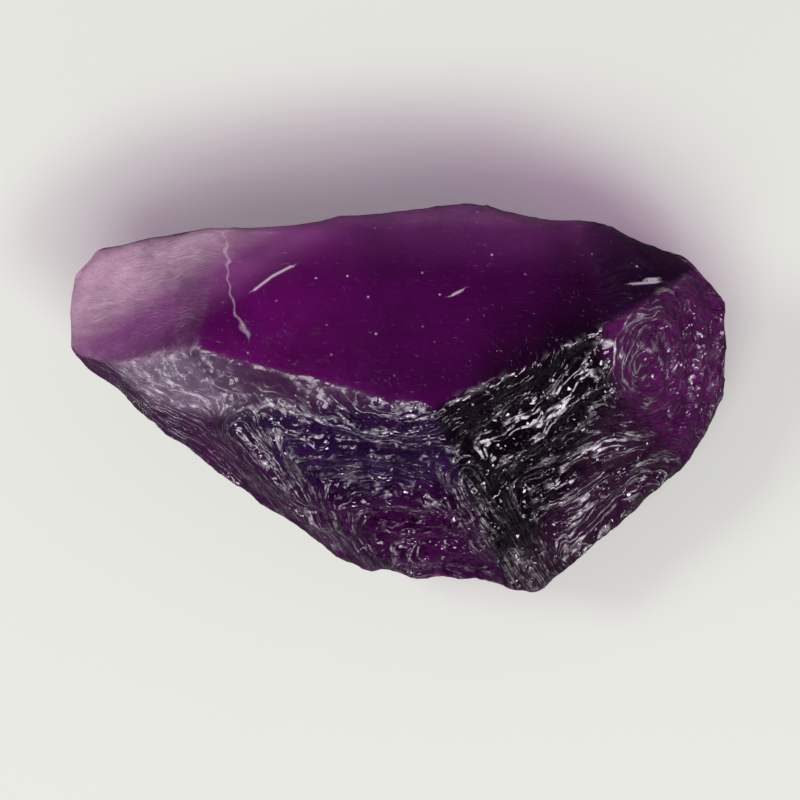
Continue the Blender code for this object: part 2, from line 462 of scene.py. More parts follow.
@dataclass(frozen=True)
class Zoning:
    """Where the stone's colour and painted glints change. Each span is along +X, or else +Y, in millimetres.

    Attributes:
        lean: How much the thin end's pale zone leans over its back.
        lean_from: Where along +Y that zone's spans are given.
        to_orchid: From lilac to orchid, in the leaning zone.
        to_violet: From orchid to violet, in the leaning zone.
        to_plum: From violet to plum.
        to_night: From plum to the darkest.
        to_mist: Where along +Y the top's back edge turns hazy.
        mist_share: How hazy it gets.
        shoulder_share: How much of the top's colour the back shoulder takes.
        right_share: How much of it the right top takes.
        left_veil: How veiled the thin end is.
        step_veil: How veiled the hazy step is.
        to_indigo: From deep purple to indigo along +Y on the front.
        to_sparkle: From dull to sparkling along +Y on the front.
        front_dimming: The share of its painted glints that the dull part lacks.
        past_step: Where the silvery step ends, along a leaning line.
        step_lean: How much that line leans.
        step_dimming: The share of its painted glints that the step lacks past its end.
        to_vivid: Where the scooped end turns a clear purple.
        vivid_dimming: The share of its painted glints that it lacks there.
        to_ledges: Where, down the dark front, its ledges start.
        bare_dimming: The share of the painted glints that it lacks above them.
        bare_calm: The share of the fine relief that it lacks above them.
        notch: The middle of the notch at the top of the dark front, brightened by painted glints.
        notch_size: Its size.
        notch_glints: How strong its painted glints are.
        dark_stripes: The ridges that run dark.
        stripe_width: How wide.
        stripe_dimming: The share of the painted glints that they lack.
        layered_ridges: The front's two ridges with thin layers beside them.
        layers_reach: How far the layers reach.
        layers_across: How close they lie.
        layer_glints: How strong their painted glints are.
        front_layer_glints: How much more so on the front.
        shaded_ridge: The top's lower right edge, which is in the dark.
        shade_reach: How far.
        shade_depth: How dark.
    """

    lean: float = 1.65
    lean_from: float = 9.0
    to_orchid: Span = (-21.5, -14.5)
    to_violet: Span = (-14.5, -9.0)
    to_plum: Span = (-8.0, -1.0)
    to_night: Span = (5.0, 20.0)
    to_mist: Span = (9.0, 15.5)
    mist_share: float = 0.35
    shoulder_share: float = 0.3
    right_share: float = 0.6
    left_veil: float = 0.4
    step_veil: float = 0.03
    to_indigo: Span = (-9.0, -5.5)
    to_sparkle: Span = (-5.0, -2.5)
    front_dimming: float = 0.75
    past_step: Span = (-13.7, -12.3)
    step_lean: float = 0.9
    step_dimming: float = 0.96
    to_vivid: Span = (18.6, 22.6)
    vivid_dimming: float = 0.9
    to_ledges: Span = (4.5, 5.6)
    bare_dimming: float = 0.99
    bare_calm: float = 0.8
    notch: tuple[float, float] = (16.2, 3.6)
    notch_size: float = 1.0
    notch_glints: float = 0.8
    dark_stripes: tuple[Line, ...] = (
        ((15.2, 2.5), (16.8, 0.5), (23.8, -5.5)),
        ((6.2, -4.6), (10.6, -11.8)),
    )
    stripe_width: float = 0.9
    stripe_dimming: float = 0.9
    layered_ridges: tuple[Line, ...] = (
        ((5.4, -6.2), (10.8, -14.6)),
        ((-12.2, -2.4), (-3.6, -13.4)),
    )
    layers_reach: float = 1.6
    layers_across: float = 1.3
    layer_glints: float = 0.2
    front_layer_glints: float = 0.6
    shaded_ridge: Line = ((8.0, 1.6), (16.0, 5.2))
    shade_reach: float = 2.4
    shade_depth: float = 0.85

    def leaning(self, places: np.ndarray) -> np.ndarray:
        """Returns how far along the stone points are, where the thin end's pale zone leans over its back."""
        return places[:, 0] - self.lean * (places[:, 1] - self.lean_from)

    def along_top(self, places: np.ndarray) -> np.ndarray:
        """The colour that the top takes along the stone.

        Args:
            places: Points on the stone.

        Returns:
            One colour for each point.
        """
        colour = blend(Tint.LILAC.value, Tint.ORCHID, smoothstep(self.to_orchid, self.leaning(places)))
        colour = blend(colour, Tint.VIOLET, smoothstep(self.to_violet, self.leaning(places)))
        colour = blend(colour, Tint.PLUM, smoothstep(self.to_plum, places[:, 0]))
        colour = blend(colour, Tint.NIGHT, smoothstep(self.to_night, places[:, 0]))
        return blend(colour, Tint.MIST, self.mist_share * smoothstep(self.to_mist, places[:, 1]))

    def beyond_step(self, places: np.ndarray, column: dict[str, np.ndarray]) -> np.ndarray:
        """Returns how much each point belongs to the silvery step past the line where it ends."""
        along = places[:, 0] + self.step_lean * places[:, 1]
        return column["silver_step"] * smoothstep(self.past_step, along)

    def bare(self, places: np.ndarray, column: dict[str, np.ndarray]) -> np.ndarray:
        """How much each point belongs to the dark front above its ledges.

        Args:
            places: Points on the stone.
            column: How much each break counts at each point.

        Returns:
            One share for each point.
        """
        climbs = math.radians(RELIEF["dark_front"].climbs)
        down = places[:, 0] * math.cos(climbs) + places[:, 1] * math.sin(climbs)
        return column["dark_front"] * (1.0 - smoothstep(self.to_ledges, down))

    def layers(self, places: np.ndarray) -> np.ndarray:
        """Returns how much the thin layers beside the front's two ridges count, from 0 to 1 at a ridge."""
        return fade(away_from(self.layered_ridges, places), self.layers_reach)

    def tints(self, places: np.ndarray, shares: np.ndarray) -> np.ndarray:
        """The colour of each point.

        Args:
            places: Points on the stone.
            shares: How much each break counts at each point.

        Returns:
            One colour for each point.
        """
        column = by_name(shares)
        colour = shares @ np.array([face.tint.value for face in BREAKS])
        top = column["smooth_top"] + self.shoulder_share * column["back_shoulder"]
        top = np.clip(top + self.right_share * column["right_top"] + column["left_top"], 0.0, 1.0)
        colour += (self.along_top(places) - colour) * top[:, None]
        low = column["front"] * (1.0 - smoothstep(self.to_indigo, places[:, 1]))
        colour = blend(colour, Tint.DEEP, low)
        colour = blend(colour, Tint.HAZE, self.beyond_step(places, column))
        colour = blend(colour, Tint.NIGHT, self.bare(places, column))
        shade = self.shade_depth * fade(away_from((self.shaded_ridge,), places), self.shade_reach)
        return blend(colour, Tint.NIGHT, shade * column["smooth_top"])

    def painted_glints(self, places: np.ndarray, shares: np.ndarray, treads: np.ndarray) -> np.ndarray:
        """How many painted glint lines there are at each point.

        Args:
            places: Points on the stone.
            shares: How much each break counts at each point.
            treads: How much each point belongs to a tread.

        Returns:
            One value for each point, where 1 or more is full of them.
        """
        column = by_name(shares)
        between = spread(shares, "between")
        # Painted glints: how many near-white lines are painted on the treads, as if they caught the lamps.
        painted_glints = spread(shares, "painted_glints") * (between + (1.0 - between) * treads)
        dull = column["front"] * (1.0 - smoothstep(self.to_sparkle, places[:, 1]))
        vivid = column["scooped_end"] * smoothstep(self.to_vivid, places[:, 0])
        stripes = fade(away_from(self.dark_stripes, places), self.stripe_width)
        painted_glints *= 1.0 - self.front_dimming * dull
        painted_glints *= 1.0 - self.step_dimming * self.beyond_step(places, column)
        painted_glints *= 1.0 - self.vivid_dimming * vivid
        painted_glints *= 1.0 - self.stripe_dimming * stripes
        painted_glints += self.layers(places) * (self.layer_glints + self.front_layer_glints * column["front"])
        painted_glints += self.notch_glints * fade(np.hypot(*(places[:, :2] - self.notch).T), self.notch_size)
        return painted_glints * (1.0 - self.bare_dimming * self.bare(places, column))

    def veil(self, places: np.ndarray, column: dict[str, np.ndarray]) -> np.ndarray:
        """Returns how veiled the stone is at each point, where 1 is the most."""
        left = 1.0 - smoothstep(self.to_orchid, self.leaning(places))
        return self.left_veil * left + self.step_veil * column["hazy_step"]


def named(sockets: Iterable[Socket], name: str) -> Socket:
    """Returns the first of a node's sockets that has a name or identifier."""
    return next(socket for socket in sockets if name in (socket.name, socket.identifier))


@dataclass(frozen=True)
class Ramp:
    """How a number is brought from one range to another, and held at its ends.

    Attributes:
        start: The number that becomes low.
        end: The number that becomes high.
        low: What start becomes.
        high: What end becomes.
    """

    start: float
    end: float
    low: float = 0.0
    high: float = 1.0


@dataclass(frozen=True)
class Wiring:
    """Short ways to add nodes to a tree and to join them.

    Attributes:
        tree: The node tree.
    """

    tree: bpy.types.NodeTree

    def feed(self, socket: Socket, value: Feed) -> None:
        """Links a socket to another, or sets a plain value on it.

        Args:
            socket: The socket that is fed.
            value: Another socket, or a number, colour or direction.
        """
        if isinstance(value, Socket):
            self.tree.links.new(value, socket)
        else:
            socket.default_value = value

    def add(self, kind: str, inputs: dict[str, Feed], output: str, **settings: object) -> Socket:
        """Adds a node.

        Args:
            kind: Its type, without the words that every shader node's type starts with.
            inputs: What is fed to its sockets, by their names or identifiers.
            output: The name or identifier of the output that is wanted.
            settings: Its own settings.

        Returns:
            That output.
        """
        node = self.tree.nodes.new("ShaderNode" + kind)
        for name, value in settings.items():
            setattr(node, name, value)
        for name, value in inputs.items():
            self.feed(named(node.inputs, name), value)
        return named(node.outputs, output)

    def place(self) -> Socket:
        """Returns the place on the stone, in millimetres."""
        place = self.add("TexCoord", {}, "Object")
        return self.add("Mapping", {"Vector": place, "Scale": (1.0 / MM, 1.0 / MM, 1.0 / MM)}, "Vector")

    def read(self, name: str, output: str = "Fac") -> Socket:
        """Returns an attribute of the stone."""
        return self.add("Attribute", {}, output, attribute_name=name)

    def math(self, operation: str, first: Socket, second: Feed = 0.0) -> Socket:
        """Returns the result of one sum."""
        return self.add("Math", {"Value": first, "Value_001": second}, "Value", operation=operation)

    def vectors(self, operation: str, first: Socket, second: Feed, output: str = "Vector") -> Socket:
        """Returns the result of one sum with directions."""
        return self.add("VectorMath", {"Vector": first, "Vector_001": second}, output, operation=operation)

    def ramp(self, value: Socket, ramp: Ramp) -> Socket:
        """Returns a number in its new range."""
        ranges = {"From Min": ramp.start, "From Max": ramp.end, "To Min": ramp.low, "To Max": ramp.high}
        return self.add("MapRange", {"Value": value, **ranges}, "Result")

    def noise(self, place: Socket, scale: float, detail: float) -> Socket:
        """Returns cloudy noise from 0 to 1, with scale patches in each millimetre and detail finer layers."""
        return self.add("TexNoise", {"Vector": place, "Scale": scale, "Detail": detail}, "Fac")

    def drawn_out_noise(self, place: Socket, along: float, across: float) -> Socket:
        """Makes cloudy noise that is drawn out along the ledges and ribs.

        Args:
            place: The place on the stone.
            along: Its patches in each millimetre along the ledges.
            across: Its patches in each millimetre across the ledges.

        Returns:
            The noise, from 0 to 1.
        """
        course = self.math("MULTIPLY", self.read("run"), across / along)
        inputs = {"Vector": place, "W": course, "Scale": along, "Detail": DRAWN_OUT_DETAIL}
        return self.add("TexNoise", inputs, "Fac", noise_dimensions="4D")

    def mix(self, share: Socket, colour: Socket | Colour, towards: Colour) -> Socket:
        """Mixes a plain colour into another.

        Args:
            share: How much of it is mixed in.
            colour: The colour at a share of 0.
            towards: The colour at a share of 1.

        Returns:
            The mixed colour.
        """
        first = colour if isinstance(colour, Socket) else (*colour, 1.0)
        inputs = {"Factor_Float": share, "A_Color": first, "B_Color": (*towards, 1.0)}
        return self.add("Mix", inputs, "Result_Color", data_type="RGBA")


@dataclass(frozen=True)
class HackleGroup:
    """Small splintered facets, each a flat cell with its own tilt, as a shader node group.

    Attributes:
        name: The group's name.
        steepness: How steeply the facets tilt.
    """

    name: str = "splintered facets"
    steepness: float = 2.1

    def build(self) -> bpy.types.ShaderNodeTree:
        """Builds the group: a vector and a cell scale in, a height out.

        Returns:
            The node group.
        """
        group = bpy.data.node_groups.new(self.name, "ShaderNodeTree")
        group.interface.new_socket("Vector", in_out="INPUT", socket_type="NodeSocketVector")
        group.interface.new_socket("Scale", in_out="INPUT", socket_type="NodeSocketFloat")
        group.interface.new_socket("Height", in_out="OUTPUT", socket_type="NodeSocketFloat")
        place, scale = group.nodes.new("NodeGroupInput").outputs[:2]
        given = group.nodes.new("NodeGroupOutput").inputs["Height"]
        wiring = Wiring(group)
        middle = wiring.add("TexVoronoi", {"Vector": place, "Scale": scale}, "Position")
        tilt = wiring.vectors("SUBTRACT", middle.node.outputs["Color"], HALF)
        offset = wiring.vectors("SUBTRACT", place, middle)
        lean = wiring.vectors("DOT_PRODUCT", offset, tilt, "Value")
        wiring.feed(given, wiring.math("MULTIPLY", lean, self.steepness))
        return group


@dataclass(frozen=True)
class FluoriteFinish:
    """Clear purple fluorite: see-through, tinted by zone, glossy or frosted by break.

    Attributes:
        name: The material's name.
        refraction: Fluorite's index of refraction.
        transmission: The share of light that goes through the surface and isn't scattered back by haze.
        absorption: The colour that a deep path keeps.
        density: How fast a path darkens, per metre.
        shadow_tint: The colour that the surface gives the lamps' light on its way through.
        cloud_scale: Cloudy patches in each millimetre.
        clouds: How they lighten and darken the tint.
        veil_turn: How the pale veils lie, in radians.
        veil_stretch: How they are drawn out.
        veils: How they stand out.
        speck_scale: Bright specks in each millimetre.
        specks: How a speck fades with the distance from its middle.
        hairline: How the crack and scratches fade with the distance from their middle.
        patch_scale: Patches in each millimetre along and across the ledges.
        patches: How they hold the painted glint lines and the specks.
        grain_scale: Grains in each millimetre.
        grains: How they break up the painted glint lines.
        line_scale: Lines in each millimetre along and across the ledges, raised as bumps and painted
            near-white as glints.
        line_sharpness: How thin they are.
        line_height: How far they are raised, in millimetres.
        dull_scale: Duller patches in each millimetre.
        dulling: How they change the gloss.
        cells: The splintered facets in each millimetre and their share of the relief, at two sizes.
    """

    name: str = "purple fluorite"
    refraction: float = 1.434
    transmission: float = 0.60
    absorption: Colour = (0.70, 0.123, 0.723)
    density: float = 400.0
    shadow_tint: Colour = (0.72, 0.60, 0.72)
    cloud_scale: float = 0.22
    clouds: Ramp = Ramp(0.3, 0.7, 0.8, 1.25)
    veil_turn: Point = (0.3, 0.2, math.radians(28.0))
    veil_stretch: Point = (0.35, 1.9, 1.0)
    veils: Ramp = Ramp(0.45, 0.80)
    speck_scale: float = 0.62
    specks: Ramp = Ramp(0.04, 0.08, 0.6, 0.0)
    hairline: Ramp = Ramp(0.0, 0.15, 1.0, 0.0)
    patch_scale: tuple[float, float] = (0.45, 0.9)
    patches: Ramp = Ramp(0.42, 0.58)
    grain_scale: float = 2.4
    grains: Ramp = Ramp(0.40, 0.62, 0.10, 2.0)
    line_scale: tuple[float, float] = (0.30, 2.3)
    line_sharpness: float = 17.0
    line_height: float = 0.16
    dull_scale: float = 0.9
    dulling: Ramp = Ramp(0.0, 1.0, 0.6, 1.4)
    cells: tuple[tuple[float, float], ...] = ((1.3, 1.0), (2.9, 0.9))

    def build(self) -> bpy.types.Material:
        """Builds the material.

        Returns:
            The material, which reads the stone's own attributes.
        """
        material = bpy.data.materials.new(self.name)
        material.use_nodes = True
        wiring = Wiring(material.node_tree)
        shader = material.node_tree.nodes["Principled BSDF"]
        output = material.node_tree.nodes["Material Output"]
        shader.inputs["Metallic"].default_value = 0.0
        shader.inputs["IOR"].default_value = self.refraction
        shader.inputs["Transmission Weight"].default_value = self.transmission
        place = wiring.place()
        lines = self._lines(wiring, place)
        wiring.feed(shader.inputs["Base Color"], self._tint(wiring, place, lines))
        wiring.feed(shader.inputs["Roughness"], self._gloss(wiring, place))
        wiring.feed(shader.inputs["Normal"], self._bump(wiring, place, lines))
        wiring.feed(output.inputs["Surface"], self._surface(wiring, shader.outputs["BSDF"]))
        inside = {"Color": (*self.absorption, 1.0), "Density": self.density}
        wiring.feed(output.inputs["Volume"], wiring.add("VolumeAbsorption", inside, "Volume"))
        return material

    def _lines(self, wiring: Wiring, place: Socket) -> Socket:
        """Draws thin wandering lines that run along the ledges and ribs.

        Args:
            wiring: The material's nodes.
            place: The place on the stone.

        Returns:
            The lines, 1 on a line and 0 between them.
        """
        waves = wiring.drawn_out_noise(place, *self.line_scale)
        away = wiring.math("ABSOLUTE", wiring.math("SUBTRACT", waves, NOISE_MIDDLE))
        faded = wiring.math("MULTIPLY", away, -self.line_sharpness)
        return wiring.math("MAXIMUM", wiring.math("ADD", faded, 1.0), 0.0)

    def _tint(self, wiring: Wiring, place: Socket, lines: Socket) -> Socket:
        """Colours the stone by zone, with cloudy patches, veils, specks, hairlines and painted glints along
        its lines.

        Args:
            wiring: The material's nodes.
            place: The place on the stone.
            lines: The thin lines along the ledges and ribs.

        Returns:
            The colour.
        """
        clouds = wiring.ramp(wiring.noise(place, self.cloud_scale, SOFT_DETAIL), self.clouds)
        tint = {"Vector": wiring.read("tint", "Color"), "Scale": clouds}
        shaded = wiring.add("VectorMath", tint, "Vector", operation="SCALE")
        patches = wiring.ramp(wiring.drawn_out_noise(place, *self.patch_scale), self.patches)
        specks = wiring.add("TexVoronoi", {"Vector": place, "Scale": self.speck_scale}, "Distance")
        specks = wiring.math("MULTIPLY", wiring.ramp(specks, self.specks), patches)
        hairlines = wiring.ramp(wiring.math("ABSOLUTE", wiring.read("aside")), self.hairline)
        hairlines = wiring.math("MULTIPLY", hairlines, wiring.read("paleness"))
        pale_share = wiring.math("MAXIMUM", self._veils(wiring, place), specks)
        pale_share = wiring.math("MAXIMUM", pale_share, hairlines)
        pale = wiring.mix(pale_share, shaded, Tint.PALE.value)
        # Painted glints: the thin lines are painted near-white into the colour, as glints of the lamps.
        painted_glint_share = wiring.math("MULTIPLY", lines, patches)
        painted_glint_share = wiring.math("MULTIPLY", painted_glint_share, self._grains(wiring, place))
        painted_glint_share = wiring.math("MULTIPLY", painted_glint_share, wiring.read("painted_glints"))
        return wiring.mix(wiring.math("MINIMUM", painted_glint_share, 1.0), pale, Tint.FROST.value)

    def _veils(self, wiring: Wiring, place: Socket) -> Socket:
        """Draws the pale veils inside the thin end.

        Args:
            wiring: The material's nodes.
            place: The place on the stone.

        Returns:
            How pale they make the stone.
        """
        turned = {"Vector": place, "Rotation": self.veil_turn, "Scale": self.veil_stretch}
        stretched = wiring.add("Mapping", turned, "Vector")
        veils = wiring.ramp(wiring.noise(stretched, 1.0, VEIL_DETAIL), self.veils)
        return wiring.math("MULTIPLY", veils, wiring.read("veil"))

    def _grains(self, wiring: Wiring, place: Socket) -> Socket:
        """Returns fine grains that break the painted glint lines up, most where the splinters are strong."""
        grains = wiring.ramp(wiring.noise(place, self.grain_scale, GRAIN_DETAIL), self.grains)
        return wiring.math("POWER", grains, wiring.read("hackle"))

    def _gloss(self, wiring: Wiring, place: Socket) -> Socket:
        """Returns the shader's roughness: that of the break, with duller and brighter patches."""
        patches = wiring.ramp(wiring.noise(place, self.dull_scale, SOFT_DETAIL), self.dulling)
        return wiring.math("MULTIPLY", wiring.read("gloss"), patches)

    def _bump(self, wiring: Wiring, place: Socket, lines: Socket) -> Socket:
        """Raises splintered facets at two sizes, and lines that run with the ledges and ribs.

        Args:
            wiring: The material's nodes.
            place: The place on the stone.
            lines: The thin lines along the ledges and ribs.

        Returns:
            The normal.
        """
        facets = HackleGroup().build()
        heights = []
        for scale, share in self.cells:
            height = wiring.add("Group", {"Vector": place, "Scale": scale}, "Height", node_tree=facets)
            heights.append(wiring.math("MULTIPLY", height, share))
        splinters = wiring.math("MULTIPLY", wiring.math("ADD", *heights), wiring.read("hackle"))
        lined = wiring.math("MULTIPLY", lines, wiring.read("striation"))
        lined = wiring.math("MULTIPLY", lined, self.line_height)
        height = wiring.math("ADD", splinters, lined)
        return wiring.add("Bump", {"Strength": 1.0, "Distance": MM, "Height": height}, "Normal")

    def _surface(self, wiring: Wiring, surface: Socket) -> Socket:
        """Lets the lamps' light through the surface, which the absorption inside then tints.

        Args:
            wiring: The material's nodes.
            surface: The surface that is seen.

        Returns:
            The whole surface.
        """
        shadow = wiring.add("LightPath", {}, "Is Shadow Ray")
        clear = wiring.add("BsdfTransparent", {"Color": (*self.shadow_tint, 1.0)}, "BSDF")
        return wiring.add("MixShader", {"Fac": shadow, "Shader": surface, "Shader_001": clear}, "Shader")


@dataclass(frozen=True)
class Stone:
    """The rough piece of fluorite, cut, broken and dressed, in millimetres until it is settled.

    Attributes:
        block: The size of the block that it is cut from.
        block_middle: Where that block's middle is.
        voxel: The size of its small faces.
        edge_rounds: How often its ridges are worn.
        edge_wear: How much each time.
        seam: How far the relief of two breaks mixes beside their ridge.
        run_seam: How far the courses of their lines mix there.
        look_seam: How far their looks mix there.
        least_share: Below this a break's relief doesn't count at a point.
        least_run_share: Below this the course of its lines doesn't.
        base_seam: The shares of the base between which the relief fades out.
        fine_share: The height of the fine steps, as a share of the coarse ones.
        fine_steps: How many fine steps there are in a coarse one.
        lump_size: The size of the coarse lumps.
        grain_size: The size of the fine grain.
        warp_size: The length of the slow wander of ledges and ribs.
        warp_reach: How far they wander.
        wiggle_size: The length of the small wiggles of their lines.
        wiggle_reach: How far those reach.
        chip_size: The size of the chips on the ridges.
        chip_depth: How deep they are.
        splinter_size: The size of the splintered facets.
        splinter_depth: How high they stand.
        splinter_scatter: Keeps the tilts of neighbouring facets apart.
        riser_hackle: The share of the fine splinters on a riser.
        tread_hackle: How much more of them there is on a tread.
        fit: How much of its solid's box it fills.
        zoning: Where its colour and painted glints change.
        hairlines: Its crack and scratches.
        finish: Its material.
    """

    block: Point = (60.0, 40.0, 30.0)
    block_middle: Point = (0.0, 0.0, 10.0)
    voxel: float = 0.27
    edge_rounds: int = 7
    edge_wear: float = 0.5
    seam: float = 0.30
    run_seam: float = 0.9
    look_seam: float = 0.10
    least_share: float = 0.03
    least_run_share: float = 0.01
    base_seam: Span = (0.02, 0.4)
    fine_share: float = 0.16
    fine_steps: float = 3.0
    lump_size: float = 6.5
    grain_size: float = 2.1
    warp_size: float = 8.0
    warp_reach: float = 2.4
    wiggle_size: float = 1.2
    wiggle_reach: float = 0.38
    chip_size: float = 3.0
    chip_depth: float = 1.1
    splinter_size: float = 1.5
    splinter_depth: float = 0.16
    splinter_scatter: float = 7.3
    riser_hackle: float = 0.35
    tread_hackle: float = 0.9
    fit: float = 0.999
    zoning: Zoning = Zoning()
    hairlines: Hairlines = Hairlines()
    finish: FluoriteFinish = FluoriteFinish()

    def build(self) -> bpy.types.Object:
        """Makes the stone and puts it in the place of its solid.

        Returns:
            The finished piece.
        """
        piece = self._cut()
        self._refine(piece)
        places = self._places(piece)
        treads = self._break_up(piece, places)
        self._dress(piece, places, treads)
        self._settle(piece)
        piece.data.materials.clear()
        piece.data.materials.append(self.finish.build())
        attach(piece, BODY)
        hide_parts(NODE)
        return piece

    def _cut(self) -> bpy.types.Object:
        """Cuts a block by every break in turn.

        Returns:
            The flat-sided stone.
        """
        deselect_all()
        bpy.ops.mesh.primitive_cube_add(size=1.0, location=self.block_middle, scale=self.block)
        piece = bpy.context.object
        piece.name = "fluorite_stone"
        piece.data.name = "fluorite_stone"
        bpy.ops.object.transform_apply(location=True, rotation=True, scale=True)
        bpy.ops.object.mode_set(mode="EDIT")
        for face in BREAKS:
            plane = {"plane_co": face.through, "plane_no": face.normal()}
            bpy.ops.mesh.select_all(action="SELECT")
            bpy.ops.mesh.bisect(**plane, use_fill=True, clear_outer=True)
        bpy.ops.mesh.select_all(action="SELECT")
        bpy.ops.mesh.normals_make_consistent(inside=False)
        bpy.ops.object.mode_set(mode="OBJECT")
        return piece

    def _refine(self, piece: bpy.types.Object) -> None:
        """Covers the stone with small even faces and takes the knife edge off its ridges.

        Args:
            piece: The flat-sided stone.
        """
        grid = piece.modifiers.new("small faces", "REMESH")
        grid.mode = "VOXEL"
        grid.voxel_size = self.voxel
        bpy.ops.object.modifier_apply(modifier=grid.name)
        wear = piece.modifiers.new("worn ridges", "SMOOTH")
        wear.factor = self.edge_wear
        wear.iterations = self.edge_rounds
        bpy.ops.object.modifier_apply(modifier=wear.name)
        bpy.ops.object.shade_smooth()

    @staticmethod
    def _places(piece: bpy.types.Object) -> np.ndarray:
        """Reads the stone's points.

        Args:
            piece: The stone.

        Returns:
            One row for each point.
        """
        places = np.empty(len(piece.data.vertices) * 3)
        piece.data.vertices.foreach_get("co", places)
        return places.reshape(-1, 3)

    @staticmethod
    def _move(piece: bpy.types.Object, places: np.ndarray) -> None:
        """Moves the stone's points to new places."""
        piece.data.vertices.foreach_set("co", places.ravel())
        piece.data.update()

    @staticmethod
    def _write(piece: bpy.types.Object, name: str, values: np.ndarray) -> None:
        """Adds one attribute to the stone's points: one number, or one colour of four, for each."""
        kind, key = ("FLOAT_COLOR", "color") if values.ndim > 1 else ("FLOAT", "value")
        piece.data.attributes.new(name, kind, "POINT").data.foreach_set(key, values.ravel())

    def _warp(self, place: Vector) -> float:
        """Returns a slow wander that keeps ledges and ribs from running dead straight."""
        return self.warp_reach * noise.noise(place / self.warp_size)

    def _run(self, face: BreakFace, place: Vector) -> float:
        """Returns how far across the ledges or ribs of a break a place is, with small wiggles."""
        wander = self._warp(place) + self.wiggle_reach * noise.noise(place / self.wiggle_size)
        return RELIEF[face.name].run(place, wander) if face.name in RELIEF else place.y + wander

    def _splinter(self, place: Vector) -> float:
        """Tilts the small flat facets, each in its own way.

        Args:
            place: A point on the stone.

        Returns:
            The height of the facet that the point is on, from about -1 to 1.
        """
        middle = noise.voronoi(place / self.splinter_size)[1][0]
        tilt = noise.cell_vector(middle * self.splinter_scatter) - Vector(HALF)
        return 2.0 * (place / self.splinter_size - middle).dot(tilt)

    def _break_height(self, face: BreakFace, place: Vector) -> tuple[float, float]:
        """How far the surface of a break stands out of its flat plane.

        Args:
            face: The break.
            place: A point on it.

        Returns:
            The height there and how much the point is on a tread.
        """
        lump, grain = face.roughness.value
        height = lump * noise.noise(place / self.lump_size) + grain * noise.noise(place / self.grain_size)
        height += face.hackle * self.splinter_depth * self._splinter(place)
        if face.name not in RELIEF:
            return height, LEVEL_TREAD
        relief = RELIEF[face.name]
        wander = self._warp(place)
        height += relief.height_at(place, wander)
        height += self.fine_share * relief.height_at(place * self.fine_steps, wander * self.fine_steps)
        return height, relief.tread_at(place, wander)

    def _break_up(self, piece: bpy.types.Object, places: np.ndarray) -> np.ndarray:
        """Moves every point off its flat break, chips the ridges and opens the crack. The base stays flat.

        Args:
            piece: The stone.
            places: Its points.

        Returns:
            How much each point belongs to a tread.
        """
        shares = face_shares(places, self.seam)
        wide = face_shares(places, self.run_seam)
        outwards = shares @ np.array([face.normal() for face in BREAKS])
        lengths = np.linalg.norm(outwards, axis=1)
        resting = by_name(shares)["base"]
        runs, heights, treads = np.zeros((3, len(places)))
        for index in np.flatnonzero(resting <= MOSTLY):
            place = Vector(places[index])
            for number in np.flatnonzero(shares[index] > self.least_share):
                height, tread = self._break_height(BREAKS[number], place)
                heights[index] += shares[index, number] * height
                treads[index] += shares[index, number] * tread
            for number in np.flatnonzero(wide[index] > self.least_run_share):
                runs[index] += wide[index, number] * self._run(BREAKS[number], place)
            chip = self.chip_depth * (1.0 + noise.noise(place / self.chip_size))
            heights[index] -= chip * (1.0 - lengths[index]) + sum(scoop.depth_at(place) for scoop in SCOOPS)
        heights -= self.hairlines.depth_at(places) * by_name(shares)["smooth_top"]
        heights *= 1.0 - smoothstep(self.base_seam, resting)
        self._move(piece, places + outwards / lengths[:, None] * heights[:, None])
        layer_runs = self.zoning.layers_across * away_from(self.zoning.layered_ridges, places)
        self._write(piece, "run", runs + self.zoning.layers(places) * (layer_runs - runs))
        return treads

    def _dress(self, piece: bpy.types.Object, places: np.ndarray, treads: np.ndarray) -> None:
        """Writes the colour, painted glints, gloss and fine relief that each point takes, for the material to
        read.

        Args:
            piece: The stone.
            places: Its points before it was broken up.
            treads: How much each point belongs to a tread.
        """
        shares = face_shares(places, self.look_seam)
        column = by_name(shares)
        aside, paleness = self.hairlines.drawn(places)
        smooth = column["smooth_top"] + column["left_top"] + column["right_top"]
        calm = 1.0 - self.zoning.bare_calm * self.zoning.bare(places, column)
        splintered = self.riser_hackle + self.tread_hackle * treads
        self._write(piece, "tint", np.c_[self.zoning.tints(places, shares), np.ones(len(places))])
        self._write(piece, "veil", self.zoning.veil(places, column))
        self._write(piece, "aside", aside)
        self._write(piece, "paleness", paleness * smooth)
        # Painted glints: how many near-white lines the material paints at each point.
        self._write(piece, "painted_glints", self.zoning.painted_glints(places, shares, treads))
        self._write(piece, "gloss", spread(shares, "gloss"))
        self._write(piece, "hackle", spread(shares, "hackle") * splintered * calm)
        self._write(piece, "striation", spread(shares, "striation") * calm)

    def _settle(self, piece: bpy.types.Object) -> None:
        """Brings the stone to metres and fits its box into that of its solid.

        Args:
            piece: The stone in millimetres.
        """
        low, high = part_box(NODE)
        places = self._places(piece)
        floor, ceiling = places.min(axis=0), places.max(axis=0)
        scale = self.fit * np.array(high - low) / (ceiling - floor)
        places = (places - (floor + ceiling) / 2.0) * scale + np.array((low + high) / 2.0)
        places[:, 2] -= places[:, 2].min() - low.z
        self._move(piece, places)
        LOG.info("stone: %d faces, scaled by %s", len(piece.data.polygons), np.round(scale / MM, 4))


